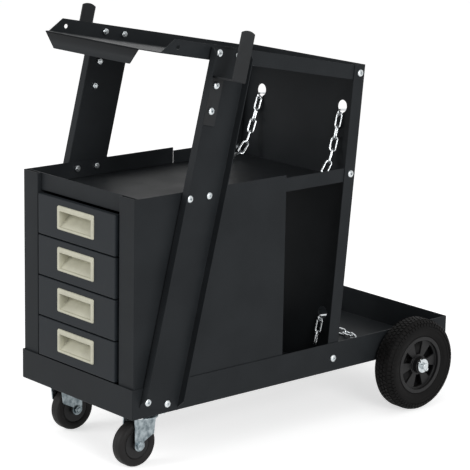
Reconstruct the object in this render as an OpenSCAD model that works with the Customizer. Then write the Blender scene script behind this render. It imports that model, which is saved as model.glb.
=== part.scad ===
// Welding cart: a folded sheet base tray on two swivel casters and two rear
// wheels, a cabinet with four drawers, two leaning uprights that carry a
// sloping top tray and cable hooks, a shelf, and a leaning rear panel with
// keyholes for two bottle chains.
// X runs across the cart, Y from the front to the rear, Z up from the floor.

/* [Base tray] */
// Width over the base tray
tray_w = 302; // [280:1:330]
// Length of the base tray
tray_l = 730; // [700:1:800]
// Height of the base tray's walls
tray_h = 51; // [44:1:52]
// Thickness of the folded sheets
sheet_t = 1.5; // [1:0.1:2]

/* [Cabinet] */
// Distance of the cabinet's stiles behind the tray's front
cab_front = 3.5; // [2:0.5:6]
// Depth of the cabinet
cab_l = 322.5; // [300:0.5:340]
// Height of the cabinet's side walls
cab_h = 361.5; // [361:0.5:375]
// Width of each front stile
stile_w = 39.7; // [32:0.1:42]
// Depth of the stiles' inward return
stile_return = 7.5; // [5:0.5:12]
// Height of the cabinet's rim above its top sheet
cab_rim_h = 28; // [24:1:28]

/* [Drawers] */
// Height from one drawer to the next
drawer_pitch = 70; // [70:0.5:72]
// Height of each drawer's front
drawer_face_h = 68; // [64:0.5:68]
// Width of each drawer's front
drawer_face_w = 208; // [205:1:212]
// Depth of each drawer's front pan
drawer_face_l = 10; // [6:1:11]
// Width of each drawer's box
drawer_box_w = 202; // [180:1:202]
// Height of each drawer's box
drawer_box_h = 55; // [50:1:58]
// Length of each drawer's box
drawer_box_l = 295; // [240:1:300]
// Height of the lowest front above the tray's rim
drawer_lift = 1.5; // [1:0.1:3]
// Width of each pull's bezel
pull_w = 97.5; // [90:0.5:110]
// Height of each pull's bezel
pull_h = 40.5; // [38:0.5:44]
// How far each pull stands proud of the front
pull_proud = 2.5; // [1.5:0.1:4]
// Depth of each pull's recess behind the front
pull_depth = 20; // [16:0.5:22]

/* [Shelf and panel] */
// Height of the shelf's side flanges
shelf_flange_h = 24; // [20:0.5:25]
// Length of the rear panel
panel_l = 534; // [531:1:545]
// Place of the panel's foot behind the tray's front
panel_foot_y = 454; // [440:1:470]
// Lean of the rear panel
panel_lean = 5.3; // [4:0.1:6.5]
// Width of the panel's side flanges
panel_flange_w = 25; // [22:0.5:30]
// Diameter of the keyholes
keyhole_d = 22; // [18:1:24]
// Width of the keyhole slots
key_slot_w = 6; // [5:0.1:8]
// Distance between the keyholes of a pair
keyhole_gap = 208; // [190:1:220]

/* [Top tray] */
// Slope of the top tray
top_slope = 10.9; // [9:0.1:12]
// Width over the top tray's rails
top_w = 295; // [280:1:296]
// Height of the top tray's rails
top_rail_h = 25; // [22:0.5:28]
// Place of the rails' front end behind the base tray's front
top_front_y = 53.5; // [45:0.5:60]
// Height of the rails' front end above the floor
top_front_z = 685.6; // [683:0.1:690]
// Reach of the top tray's lip in front of its rails
top_nose = 24; // [15:1:30]
// Depth of the top tray's front lip
top_lip_h = 26; // [20:1:30]

/* [Uprights and hooks] */
// Width of the uprights' webs
upright_w = 80.5; // [74:0.5:84]
// Width of the uprights' outward flanges
upright_flange = 15; // [10:0.5:18]
// Lean of the uprights
upright_lean = 13.9; // [13:0.1:15]
// Place of the uprights' foot screws behind the tray's front
foot_y = 50; // [46:0.5:60]
// Reach of the cable hooks from the uprights
hook_reach = 55.5; // [45:0.5:70]
// Width of the cable hooks' bar
hook_w = 27.5; // [20:0.5:30]
// Thickness of the cable hooks' bar
hook_t = 3; // [2:0.5:4]
// Height of the cable hooks' tongues
hook_tongue = 83; // [60:1:90]

/* [Casters] */
// Height from the floor to the tray's bottom
caster_h = 95; // [94:0.5:98]
// Diameter of the caster wheels
caster_d = 76; // [70:1:76]
// Width of the caster tyres
caster_w = 24; // [20:1:26]
// Distance of the wheel's centre from the swivel's centre
caster_trail = 17; // [12:0.5:22]
// Distance between the casters' swivels
caster_gap = 214; // [200:1:220]
// Place of the swivels behind the tray's front
caster_y = 55; // [55:1:70]

/* [Rear wheels] */
// Diameter of the rear wheels
wheel_d = 165; // [160:1:166]
// Width of the rear tyres
wheel_w = 44; // [38:1:48]
// Place of the rear axle behind the tray's front
wheel_y = 622; // [600:1:640]
// Diameter of the rear axle
axle_d = 12; // [10:0.5:12]
// Number of openings in each rear rim
rim_windows = 6; // [4:1:7]

/* [Chains] */
// Wire diameter of the chains
chain_wire = 3.5; // [3:0.1:3.8]
// Length of one chain link
chain_link_l = 29; // [26:0.5:30]
// Width of one chain link
chain_link_w = 13.5; // [13:0.1:14]

/* [Hidden] */
$fn = 48;

// Colours of the materials.
ink = "#303234";
side_ink = "#2a2c2e";
zinc = "#b4bec2";
beige = "#cfcdbc";
black = "#1c1b1b";
dark_core = "#232526";

// Clearances that all pieces share.
fit_gap = 0.3;
run_gap = 0.06;
overrun = 1;

// Heights and widths that follow the base tray.
tray_z = caster_h;
floor_z = tray_z + sheet_t;
rim_z = tray_z + tray_h;
tray_in = tray_w - 2 * sheet_t;
cab_w = tray_in - 2 * fit_gap;
panel_w = cab_w;
web_x = tray_w / 2;
web_out = web_x + sheet_t;
cab_back = cab_front + cab_l;
cab_top_z = floor_z + cab_h;
deck_z = cab_top_z - cab_rim_h;
stile_x = cab_w / 2 - stile_w;

// Screws and nuts of the frame.
screw_d = 6;
screw_r = screw_d / 2;
screw_gap = 0.1;
screw_head_d = 12.5;
screw_head_h = 4;
head_edge_h = 1.6;
head_crown_d = 8;
nut_af = 10;
nut_h = 5;
screw_tail = 1.5;

// Drawers, their boxes and their guides.
drawer_t = 1.2;
drawer_rise = 5;
guide_reach = 13.5;
ledge_gap = 3;
box_front = sheet_t;

// Pulls: the shell behind the bezel, its mouth, its thicker upper lip and
// the ramp that rises from the sill to the back of the recess.
pull_wall = 1.5;
pull_ramp = 4;
pull_rise = 3.3;
pull_side = 4.8;
pull_edge = 1.8;
pull_lip = 9;
pull_sill = 4.5;
pull_corner = 3;

// Shelf and rear panel.
shelf_screw_x = 90;
flange_screw_in = 12;
low_screw_rise = 22;
key_rise = 456;
key_low_rise = 92;
key_slot_l = 15;

// Top tray.
top_nose_half = 122.5;
lip_low_half = 100;
rail_ramp = 26;
spare_hole_d = 7.5;
spare_hole_u = 34.5;
rail_screw_n = 13;
rail_screw_pitch = 41;

// Uprights, measured along their length from the foot screws.
foot_z = tray_z + 20.5;
foot_screw_pitch = 42;
foot_shift = 3;
web_tail = 10;
flange_tail = 5;
flange_foot_cut = 13;
flange_top_cut = 10;
top_cut_n = 21;
cab_screw_pitch = 41;
cab_screw_rise = 16;
cab_screw_shift = 1.5;

// Distance of the uprights' front edge from the line of their screws.
upright_front = 38;

// Cable hooks, measured along the uprights.
hook_p = 16.4;
hook_low = 456;
hook_leg = 79.6;
hook_bolt_a = 23.6;
hook_bolt_b = 65.4;
hook_arch = 26;

// Casters.
plate_w = 60;
plate_t = 3;
plate_bolt_in = 7;
race_r = 22;
race_h = 6.7;
crown_t = 2.5;
crown_r = 27;
leg_t = 2.5;
leg_gap = 2;
leg_front = 17;
leg_end_r = 10;
leg_knee = 4;
kingpin_r = 5;
kingpin_head_r = 8;
kingpin_head_h = 3;
caster_bolt_r = 4;
caster_bolt_head = 4;
caster_bolt_af = 13;
caster_core_r = 24;
caster_shoulder = 7;
core_side_gap = 0.5;

// Rear wheels and their axle.
wheel_side_gap = 2;
rim_r = 52;
rim_wall = 7;
rim_lip_w = 36;
rim_disc_t = 5;
rim_disc_out = 10;
rim_back_t = 2;
hub_r = 15;
bush_wall = 3;
window_in = 19;
window_gap = 3;
window_share = 0.5;
wheel_shoulder = 14;
window_turn = 2;
axle_z = wheel_d / 2;
axle_r = axle_d / 2;
wheel_x = web_x + wheel_side_gap + wheel_w / 2;
washer_r = 12.5;
washer_t = 2;
pin_r = 1.25;
pin_reach = 12;
pin_step = 2.5;
pin_splay = 20;
pin_turn = 44;
axle_tail = 3.5;
bracket_x = 115;
bracket_t = 3;
bracket_l = 44;
bracket_tab = 30;
bracket_drop = 12;
bracket_bolt_gap = 28;
spacer_r = 9;
bolt_head_d = 12;
bolt_head_h = 3;
bolt_tail = 1;

// Chains: each link reaches past its joints by the joint reach.
link_play = 0.9;
joint_reach = (chain_wire + link_play) / 2;
link_pitch = chain_link_l - chain_wire - 2 * joint_reach;
link_bend = (chain_link_w - chain_wire) / 2;
// Play with which a run hangs from the link in a slot.
hang_play = 0.6;
// Distance of the slot links' middle behind the panel.
slot_back = 4;
// Turn of a free end's links from one to the next, and at most.
end_turn = 14;
end_turn_most = 50;

// The whole cart stands centred on its length.
module cart() {
  translate([0, -(tray_l - pull_proud) / 2, 0])
    children();
}

// Draws its children for both sides, with their Z pointing outward.
module outward() {
  for (s = [-1, 1])
    rotate([0, s * 90, 0])
      children();
}

// The left piece is the mirror image of the right one.
module on_side(s) {
  mirror([s < 0 ? 1 : 0, 0, 0])
    children();
}

// Profile in Y and Z, extruded outward along X.
module along_x(t) {
  rotate([90, 0, 90])
    linear_extrude(t)
      children();
}

// Profile in X and Z, extruded toward the front from Y at zero.
module along_y(t) {
  rotate([90, 0, 0])
    linear_extrude(t)
      children();
}

// Frames of the three leaning members.
module on_slope() {
  translate([0, top_front_y, top_front_z])
    rotate([-top_slope, 0, 0])
      children();
}

module on_panel() {
  translate([0, panel_foot_y, floor_z])
    rotate([-panel_lean, 0, 0])
      children();
}

module on_upright() {
  translate([0, foot_y + foot_shift, foot_z])
    rotate([-upright_lean, 0, 0])
      children();
}

// Length along an upright at which it meets the top tray's cut line.
upright_c = (foot_y + foot_shift - top_front_y) * sin(top_slope)
  + (foot_z - top_front_z) * cos(top_slope);
function upright_a(n, p) = (n - upright_c - p * sin(top_slope - upright_lean))
  / cos(upright_lean - top_slope);
// Place along the slope of the upright's centre line at a height n.
rail_screw_u = (foot_y + foot_shift - top_front_y) * cos(top_slope)
  - (foot_z - top_front_z) * sin(top_slope)
  + upright_a(rail_screw_n, 0) * sin(upright_lean - top_slope);
// Place of the upright's centre line at a height above the floor.
function upright_y(z) = foot_y + foot_shift + (z - foot_z) * tan(upright_lean);

// Length along the panel at a height above the floor, y toward the front.
function panel_w_at(z, y) = (z - floor_z - y * sin(panel_lean))
  / cos(panel_lean);
// Length along the panel where it meets the rails' screw line.
panel_top_w = (rail_screw_n
  - (panel_foot_y - flange_screw_in * cos(panel_lean) - top_front_y)
    * sin(top_slope)
  - (floor_z + flange_screw_in * sin(panel_lean) - top_front_z)
    * cos(top_slope)) / cos(top_slope - panel_lean);
panel_mid_w = panel_w_at(deck_z + shelf_flange_h / 2, flange_screw_in);
panel_low_w = panel_w_at(floor_z + low_screw_rise, flange_screw_in);
// Length of the rails up to the panel's inner face.
top_l = (-sheet_t - fit_gap
  - (top_front_y + top_rail_h * sin(top_slope) - panel_foot_y)
    * cos(panel_lean)
  + (top_front_z + top_rail_h * cos(top_slope) - floor_z)
    * sin(panel_lean)) / cos(top_slope - panel_lean);
// Rear end of the shelf at the panel's inner face.
shelf_end = panel_foot_y + (deck_z - sheet_t - floor_z) * tan(panel_lean)
  - sheet_t / cos(panel_lean) - fit_gap;

// Places of the frame's screws.
module at_foot_screws() {
  on_upright()
    for (k = [-1, 1])
      translate([0, k * foot_screw_pitch / 2 - foot_shift, 0])
        outward() children();
}

module at_cab_screws() {
  for (k = [-1, 1])
    translate([0, upright_y(deck_z + cab_screw_rise) - cab_screw_shift
        + k * cab_screw_pitch / 2, deck_z + cab_screw_rise])
      outward() children();
}

module at_rail_screws() {
  on_slope()
    for (k = [-1, 1])
      translate([0, rail_screw_u + k * rail_screw_pitch / 2, rail_screw_n])
        outward() children();
}

module at_hook_screws() {
  on_upright()
    for (a = [hook_bolt_a, hook_bolt_b])
      translate([0, -hook_p, hook_low + a])
        outward() children();
}

module at_panel_screws(w) {
  on_panel()
    translate([0, -flange_screw_in, w])
      outward() children();
}

module at_shelf_screws() {
  for (k = [-1, 0, 1])
    translate([k * shelf_screw_x, 0, deck_z - shelf_flange_h / 2])
      rotate([-90, 0, 0])
        children();
}

// Hole for one screw, right through the sheets round a seat.
module screw_hole(seat) {
  translate([0, 0, seat - tray_h / 2])
    cylinder(h = tray_h, r = screw_r + fit_gap);
}

// Pan head screw with its head outside the seat, and its nut inside.
module screw(seat, grip) {
  translate([0, 0, seat]) {
    cylinder(h = head_edge_h, d = screw_head_d);
    translate([0, 0, head_edge_h])
      cylinder(h = screw_head_h - head_edge_h, d1 = screw_head_d,
        d2 = head_crown_d);
    translate([0, 0, -grip - nut_h - screw_tail])
      cylinder(h = grip + nut_h + screw_tail, r = screw_r);
  }
}

module nut(seat, grip) {
  translate([0, 0, seat - grip - nut_h])
    difference() {
      cylinder(h = nut_h, d = nut_af / cos(30), $fn = 6);
      translate([0, 0, -overrun])
        cylinder(h = nut_h + 2 * overrun, r = screw_r + screw_gap);
    }
}

cab_grip = web_out - (cab_w / 2 - sheet_t);
rail_grip = web_out - (top_w / 2 - sheet_t);
hook_grip = hook_t + sheet_t;
flange_grip = panel_w / 2 - (top_w / 2 - sheet_t);
tray_grip = web_x - (panel_w / 2 - sheet_t);
shelf_seat = cab_back + sheet_t;

module base_tray() {
  color(ink) cart() difference() {
    translate([-web_x, 0, tray_z])
      cube([tray_w, tray_l, tray_h]);
    translate([-tray_in / 2, sheet_t, floor_z])
      cube([tray_in, tray_l - 2 * sheet_t, tray_h]);
    at_foot_screws() screw_hole(web_x);
    at_panel_screws(panel_low_w) screw_hole(web_x);
    at_plate_bolts() floor_hole();
    at_bracket_bolts() floor_hole();
  }
}

// Cabinet walls: two sides with stiles and returns, and a rear wall.
module cabinet_shell() {
  color(side_ink) cart() difference() {
    union() {
      for (s = [-1, 1]) on_side(s)
        translate([0, cab_front, floor_z]) {
          translate([cab_w / 2 - sheet_t, 0, 0])
            cube([sheet_t, cab_l, cab_h]);
          translate([stile_x, 0, 0])
            cube([stile_w, sheet_t, cab_h]);
          translate([stile_x, 0, 0])
            cube([sheet_t, stile_return, cab_h]);
        }
      translate([-cab_w / 2, cab_back - sheet_t, floor_z])
        cube([cab_w, sheet_t, deck_z - sheet_t - floor_z]);
    }
    at_foot_screws() screw_hole(web_x);
    at_cab_screws() screw_hole(web_x);
    translate([0, cab_back, 0])
      at_shelf_screws() screw_hole(0);
  }
}

// Cabinet top: a sunk sheet with the recessed front rail.
module cabinet_top() {
  top_in = cab_w - 2 * sheet_t;
  color(side_ink) cart()
    translate([-top_in / 2, cab_front + stile_return, deck_z - sheet_t]) {
      cube([top_in, cab_l - stile_return, sheet_t]);
      cube([top_in, sheet_t, cab_rim_h + sheet_t]);
    }
}

// Height of the bottom of a drawer's front, counted from the top drawer.
function face_z(k) = rim_z + drawer_lift + (4 - k) * drawer_pitch;
function box_z(k) = face_z(k) + drawer_rise;

// Guide beside the drawers: a channel with one ledge under each drawer.
module drawer_guide(s) {
  guide_y = cab_front + stile_return;
  guide_l = cab_l - stile_return - sheet_t;
  guide_h = deck_z - sheet_t - floor_z;
  wing = cab_w / 2 - sheet_t - stile_x;
  color("#3a3c3e") cart() on_side(s)
    translate([stile_x, guide_y, floor_z]) {
      cube([sheet_t, guide_l, guide_h]);
      for (z = [bolt_head_h + fit_gap, guide_h - sheet_t])
        translate([0, 0, z])
          cube([wing, guide_l, sheet_t]);
      for (k = [1 : 4])
        translate([-guide_reach, ledge_gap,
            box_z(k) - fit_gap - sheet_t - floor_z])
          cube([guide_reach + sheet_t, guide_l - ledge_gap, sheet_t]);
    }
}

module left_drawer_guide() { drawer_guide(-1); }
module right_drawer_guide() { drawer_guide(1); }

// Upright: web against the tray, flanges turned outward.
module upright(s) {
  front = -upright_front;
  rear = upright_w - upright_front;
  out = web_x + upright_flange;
  color(side_ink) cart() on_side(s) difference() {
    on_upright() {
      translate([web_x, 0, 0])
        along_x(sheet_t)
          polygon([[front, -web_tail], [rear, -web_tail],
            [rear, upright_a(top_cut_n, rear)],
            [front, upright_a(top_cut_n, front)]]);
      for (p = [front, rear])
        translate([0, p == front ? front + sheet_t : rear, 0])
          along_y(sheet_t)
            polygon([[web_x, -flange_tail],
              [out - flange_foot_cut, -flange_tail],
              [out, flange_foot_cut - flange_tail],
              [out, upright_a(top_cut_n, p) - flange_top_cut],
              [out - flange_top_cut, upright_a(top_cut_n, p)],
              [web_x, upright_a(top_cut_n, p)]]);
    }
    at_foot_screws() screw_hole(web_x);
    at_cab_screws() screw_hole(web_x);
    at_rail_screws() screw_hole(web_x);
    at_hook_screws() screw_hole(web_x);
  }
}

module left_upright() { upright(-1); }
module right_upright() { upright(1); }

// Cable hook: flat bar bent twice, leg on the web and tongue outside.
module cable_hook(s) {
  half = hook_w / 2;
  color(side_ink) cart() on_side(s) difference() {
    on_upright() translate([web_out, -hook_p, hook_low]) {
      translate([0, -half, 0])
        cube([hook_t, hook_w, hook_leg]);
      translate([0, -half, hook_leg - hook_t])
        cube([hook_reach, hook_w, hook_t]);
      translate([hook_reach - hook_t, 0, hook_leg - hook_t])
        along_x(hook_t)
          intersection() {
            translate([-half, 0])
              square([hook_w, hook_tongue]);
            translate([0, hook_tongue - hook_arch]) {
              circle(r = hook_arch, $fn = 96);
              translate([-half, -hook_tongue])
                square([hook_w, hook_tongue]);
            }
          }
    }
    at_hook_screws() screw_hole(web_x);
  }
}

module left_cable_hook() { cable_hook(-1); }
module right_cable_hook() { cable_hook(1); }

// Top tray: sloping floor with clipped front corners, rails and a lip.
module top_tray() {
  half = top_w / 2;
  color(side_ink) cart() difference() {
    union() {
      on_slope() {
        linear_extrude(sheet_t)
          polygon([[-half, 0], [-top_nose_half, -top_nose],
            [top_nose_half, -top_nose], [half, 0], [half, top_l],
            [-half, top_l]]);
        for (s = [-1, 1]) on_side(s)
          translate([half - sheet_t, 0, 0])
            along_x(sheet_t)
              polygon([[0, 0], [rail_ramp, top_rail_h],
                [top_l, top_rail_h], [top_l, 0]]);
      }
      translate([0, top_front_y - top_nose * cos(top_slope) + sheet_t,
          top_front_z + top_nose * sin(top_slope) + sheet_t / 2])
        along_y(sheet_t)
          polygon([[-top_nose_half, 0], [-lip_low_half, -top_lip_h],
            [lip_low_half, -top_lip_h], [top_nose_half, 0]]);
    }
    at_rail_screws() screw_hole(web_x);
    at_panel_screws(panel_top_w) screw_hole(web_x);
    on_slope()
      translate([0, spare_hole_u, top_rail_h / 2])
        outward()
          translate([0, 0, half - sheet_t - overrun])
            cylinder(h = sheet_t + 2 * overrun, d = spare_hole_d);
  }
}

// Keyhole in the panel's own frame, with its slot pointing down.
module keyhole(x, w) {
  translate([x, overrun, w])
    rotate([90, 0, 0])
      linear_extrude(sheet_t + 2 * overrun) {
        circle(d = keyhole_d);
        translate([0, -key_slot_l])
          circle(d = key_slot_w);
        translate([-key_slot_w / 2, -key_slot_l])
          square([key_slot_w, key_slot_l]);
      }
}

// Rear panel: leaning sheet with forward flanges and four keyholes.
module rear_panel() {
  color(side_ink) cart() difference() {
    on_panel() difference() {
      translate([-panel_w / 2, -panel_flange_w, 0])
        cube([panel_w, panel_flange_w, panel_l]);
      translate([sheet_t - panel_w / 2, -panel_flange_w - overrun, -overrun])
        cube([panel_w - 2 * sheet_t, panel_flange_w + overrun - sheet_t,
          panel_l + 2 * overrun]);
      for (x = [-keyhole_gap / 2, keyhole_gap / 2])
        for (w = [key_low_rise, key_rise])
          keyhole(x, w);
    }
    for (w = [panel_low_w, panel_mid_w, panel_top_w])
      at_panel_screws(w) screw_hole(web_x);
  }
}

// Shelf between the cabinet and the panel.
module middle_shelf() {
  shelf_l = shelf_end - cab_back;
  color(side_ink) cart() difference() {
    translate([0, cab_back, deck_z - sheet_t]) {
      translate([-top_w / 2, 0, 0])
        cube([top_w, shelf_l, sheet_t]);
      translate([-top_w / 2, 0, -shelf_flange_h])
        cube([top_w, sheet_t, shelf_flange_h]);
      for (s = [-1, 1]) on_side(s)
        translate([top_w / 2 - sheet_t, 0, 0])
          cube([sheet_t, shelf_l, shelf_flange_h]);
    }
    at_panel_screws(panel_mid_w) screw_hole(web_x);
    translate([0, cab_back, 0])
      at_shelf_screws() screw_hole(0);
  }
}

module frame_screws() {
  color(zinc) cart() {
    at_foot_screws() screw(web_out, cab_grip);
    at_cab_screws() screw(web_out, cab_grip);
    at_rail_screws() screw(web_out, rail_grip);
    at_hook_screws() screw(web_out + hook_t, hook_grip);
    at_panel_screws(panel_low_w) screw(web_x, tray_grip);
    at_panel_screws(panel_mid_w) screw(panel_w / 2, flange_grip);
    at_panel_screws(panel_top_w) screw(panel_w / 2, flange_grip);
    translate([0, shelf_seat, 0])
      at_shelf_screws() screw(0, 2 * sheet_t);
  }
}

module frame_nuts() {
  color(zinc) cart() {
    at_foot_screws() nut(web_out, cab_grip);
    at_cab_screws() nut(web_out, cab_grip);
    at_rail_screws() nut(web_out, rail_grip);
    at_hook_screws() nut(web_out + hook_t, hook_grip);
    at_panel_screws(panel_low_w) nut(web_x, tray_grip);
    at_panel_screws(panel_mid_w) nut(panel_w / 2, flange_grip);
    at_panel_screws(panel_top_w) nut(panel_w / 2, flange_grip);
    translate([0, shelf_seat, 0])
      at_shelf_screws() nut(0, 2 * sheet_t);
    at_plate_bolts() nut(0, sheet_t + plate_t);
    at_bracket_bolts() nut(0, sheet_t + bracket_t);
  }
}

// Washers that fill the gap between the uprights and what they carry.
module spacer(x) {
  translate([0, 0, x])
    difference() {
      cylinder(h = web_x - x, d = screw_head_d);
      translate([0, 0, -overrun])
        cylinder(h = web_x - x + 2 * overrun, r = screw_r + fit_gap);
    }
}

module spacer_washers() {
  color(zinc) cart() {
    at_cab_screws() spacer(cab_w / 2);
    at_rail_screws() spacer(top_w / 2);
  }
}

// Bolts through the tray's floor, with their heads on the floor.
module at_plate_bolts() {
  c = plate_w / 2 - plate_bolt_in;
  for (s = [-1, 1], x = [-c, c], y = [-c, c])
    translate([s * caster_gap / 2 + x, caster_y + y, floor_z])
      children();
}

module at_bracket_bolts() {
  for (s = [-1, 1], k = [-1, 1])
    translate([s * (bracket_x - bracket_tab / 2), wheel_y
        + k * bracket_bolt_gap / 2, floor_z])
      children();
}

module floor_hole() {
  translate([0, 0, -tray_h / 2])
    cylinder(h = tray_h, r = screw_r + fit_gap);
}

module floor_bolt(grip) {
  cylinder(h = bolt_head_h / 2, d = bolt_head_d);
  translate([0, 0, bolt_head_h / 2])
    cylinder(h = bolt_head_h / 2, d1 = bolt_head_d, d2 = head_crown_d);
  translate([0, 0, -grip - nut_h - bolt_tail])
    cylinder(h = grip + nut_h + bolt_tail, r = screw_r);
}

module caster_plate_bolts() {
  color(zinc) cart() at_plate_bolts() floor_bolt(sheet_t + plate_t);
}

module bracket_bolts() {
  color(zinc) cart() at_bracket_bolts() floor_bolt(sheet_t + bracket_t);
}

// Rear axle, held by two angle brackets under the tray.
module rear_axle() {
  l = axle_half - pin_x;
  color(zinc) cart() translate([0, wheel_y, axle_z]) difference() {
    rotate([0, 90, 0])
      cylinder(h = 2 * axle_half, r = axle_r, center = true);
    for (s = [-1, 1])
      translate([s * (axle_half - l), 0, 0])
        rotate([90 - pin_turn, 0, 0])
          cylinder(h = 2 * axle_d, r = pin_r + screw_gap, center = true);
  }
}

bush_out = wheel_x + wheel_w / 2 + core_side_gap;
washer_x = bush_out + fit_gap;
pin_x = washer_x + washer_t + fit_gap + pin_r;
axle_half = pin_x + pin_r + axle_tail;

module axle_brackets() {
  color(zinc) cart() for (s = [-1, 1]) on_side(s)
    translate([0, wheel_y, 0]) difference() {
      union() {
        translate([bracket_x, 0, axle_z])
          rotate([0, 90, 0])
            cylinder(h = bracket_t, r = bracket_drop);
        translate([bracket_x, -bracket_drop, axle_z])
          cube([bracket_t, 2 * bracket_drop, tray_z - axle_z]);
        translate([bracket_x + bracket_t - bracket_tab, -bracket_l / 2,
            tray_z - bracket_t])
          cube([bracket_tab, bracket_l, bracket_t]);
      }
      translate([bracket_x - overrun, 0, axle_z])
        rotate([0, 90, 0])
          cylinder(h = bracket_t + 2 * overrun, r = axle_r + run_gap);
      translate([0, -wheel_y, 0])
        at_bracket_bolts() floor_hole();
    }
}

// Ring round the axle between two distances from the middle.
module axle_ring(x0, x1, r, bore) {
  translate([0, wheel_y, axle_z])
    outward()
      translate([0, 0, x0])
        difference() {
          cylinder(h = x1 - x0, r = r);
          translate([0, 0, -overrun])
            cylinder(h = x1 - x0 + 2 * overrun, r = bore);
        }
}

module axle_spacers() {
  color(zinc) cart()
    axle_ring(bracket_x + bracket_t, wheel_x - wheel_w / 2
      - core_side_gap - fit_gap, spacer_r, axle_r + run_gap);
}

module axle_washers() {
  color(zinc) cart()
    axle_ring(washer_x, washer_x + washer_t, washer_r, axle_r + run_gap);
}

// Split pins: an eye behind the axle and two legs splayed in front.
module cotter_pins() {
  color(zinc) cart() for (s = [-1, 1])
    translate([s * pin_x, wheel_y, axle_z]) rotate([-pin_turn, 0, 0]) {
      rotate([90, 0, 0])
        cylinder(h = axle_d + pin_step, r = pin_r, center = true);
      for (k = [-1, 1])
        translate([0, -(axle_d + pin_step) / 2, 0])
          rotate([90 + k * pin_splay, 0, 0])
            translate([0, 0, -pin_r])
              cylinder(h = pin_reach, r = pin_r);
      translate([0, (axle_d + pin_step) / 2 + pin_step, 0])
        rotate([0, 90, 0])
          rotate_extrude()
            translate([pin_step, 0])
              circle(r = pin_r);
    }
}

// One link from a joint at the origin to the next one along X.
module link() {
  half = link_pitch / 2 + joint_reach - link_bend;
  translate([link_pitch / 2, 0, 0]) {
    for (s = [-1, 1]) {
      translate([-half, s * link_bend, 0])
        rotate([0, 90, 0])
          cylinder(h = 2 * half, d = chain_wire, $fn = 24);
      translate([s * half, 0, 0])
        rotate([0, 0, -s * 90])
          rotate_extrude(angle = 180, $fn = 48)
            translate([link_bend, 0])
              circle(d = chain_wire, $fn = 24);
    }
  }
}

// Draws a link from joint a to joint b; its width lies along w turned
// about the link by a roll.
module link_between(a, b, w, roll) {
  t = (b - a) / norm(b - a);
  n0 = cross(t, w);
  n = n0 / norm(n0);
  v = cross(n, t);
  multmatrix([[t.x, v.x, n.x, a.x], [t.y, v.y, n.y, a.y],
      [t.z, v.z, n.z, a.z]])
    rotate([roll, 0, 0])
      link();
}

// Adds up the steps along a run of links from joint p.
function run(p, steps, i = 0) = i >= len(steps) ? [p]
  : concat([p], run(p + link_pitch * steps[i], steps, i + 1));

// Direction in the vertical plane, turned down from the front.
function down_front(a) = [0, -cos(a), -sin(a)];

// Centre of an end bend of the link that lies through a keyhole's slot,
// behind the panel for k of 1 and in front of it for k of -1.
key_seat = key_slot_l + key_slot_w / 2 - chain_link_w / 2 - fit_gap;
function in_slot(x, w, y) = let (h = w - key_seat)
  [x, panel_foot_y + (y - sheet_t / 2) * cos(panel_lean)
      + h * sin(panel_lean),
    floor_z - (y - sheet_t / 2) * sin(panel_lean) + h * cos(panel_lean)];
function slot_bend(x, w, k) = in_slot(x, w,
  slot_back + k * (link_pitch / 2 + joint_reach - link_bend));
// First joint of a run that hangs from a slot link along direction t.
hang_reach = joint_reach + hang_play;
function hang_from(x, w, k, t) = slot_bend(x, w, k) + hang_reach * t;

function sum(v, i = 0) = i >= len(v) ? 0 : v[i] + sum(v, i + 1);

// Slope at the ends of a hanging loop of n links that spans the keyholes.
function loop_slope_at(n, m, i) = m * (n - 1 - 2 * i) / (n - 1);
function loop_span(n, m) = 2 * hang_reach / sqrt(1 + m * m)
  + link_pitch * sum([for (i = [0 : n - 1])
    1 / sqrt(1 + pow(loop_slope_at(n, m, i), 2))]);
function loop_slope(n, gap, lo, hi, i = 40) = i == 0 ? (lo + hi) / 2
  : loop_span(n, (lo + hi) / 2) > gap
    ? loop_slope(n, gap, (lo + hi) / 2, hi, i - 1)
    : loop_slope(n, gap, lo, (lo + hi) / 2, i - 1);

// Direction at the ends of a lying loop of n links that spans the keyholes.
function arc_turn(n, b, i) = b * (n - 1 - 2 * i) / (n - 1);
function arc_span(n, b) = link_pitch
  * sum([for (i = [0 : n - 1]) cos(arc_turn(n, b, i))]);
function arc_angle(n, gap, lo, hi, i = 40) = i == 0 ? (lo + hi) / 2
  : arc_span(n, (lo + hi) / 2) > gap
    ? arc_angle(n, gap, (lo + hi) / 2, hi, i - 1)
    : arc_angle(n, gap, lo, (lo + hi) / 2, i - 1);

// Angles of a hanging run, with a last one that ends it at the drop.
function landing(angles, drop) = concat(angles,
  [asin(max(0, min(1, (drop - hang_reach * sin(angles[0])) / link_pitch
    - sum([for (a = angles) sin(a)]))))]);

// Links along a run of joints, turned by a right angle from one to the next.
module chain_run(j, w, first) {
  for (i = [0 : len(j) - 2])
    link_between(j[i], j[i + 1], w, first + 90 * (i % 2));
}

module slot_links(w) {
  half = link_pitch / 2;
  for (x = [-keyhole_gap / 2, keyhole_gap / 2])
    link_between(in_slot(x, w, slot_back - half),
      in_slot(x, w, slot_back + half), [0, 0, 1], 0);
}

// Free end in front of the panel: down, then forward on what it meets,
// with its links turned a little further from one to the next.
module chain_end(x, w, angles) {
  j = run(hang_from(x, w, -1, down_front(angles[0])),
    [for (a = angles) down_front(a)]);
  for (i = [0 : len(j) - 2])
    link_between(j[i], j[i + 1], [1, 0, 0],
      90 * (i % 2) - min(end_turn * (i + 1), end_turn_most));
}

// Upper chain: slot links, a hanging loop behind, two ends in front.
upper_links = 21;
upper_m = loop_slope(upper_links, keyhole_gap, 0, 60);
upper_steps = [for (i = [0 : upper_links - 1])
  let (m = loop_slope_at(upper_links, upper_m, i))
    [1, 0, -m] / sqrt(1 + m * m)];
upper_drop = slot_bend(0, key_rise, -1).z
  - (deck_z + chain_link_w / 2 + fit_gap);
left_end_angles = [72, 71, 70, 66, 50];
left_end_rest = [0, 0];
right_end_angles = [76, 76, 75, 72, 55];

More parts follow.
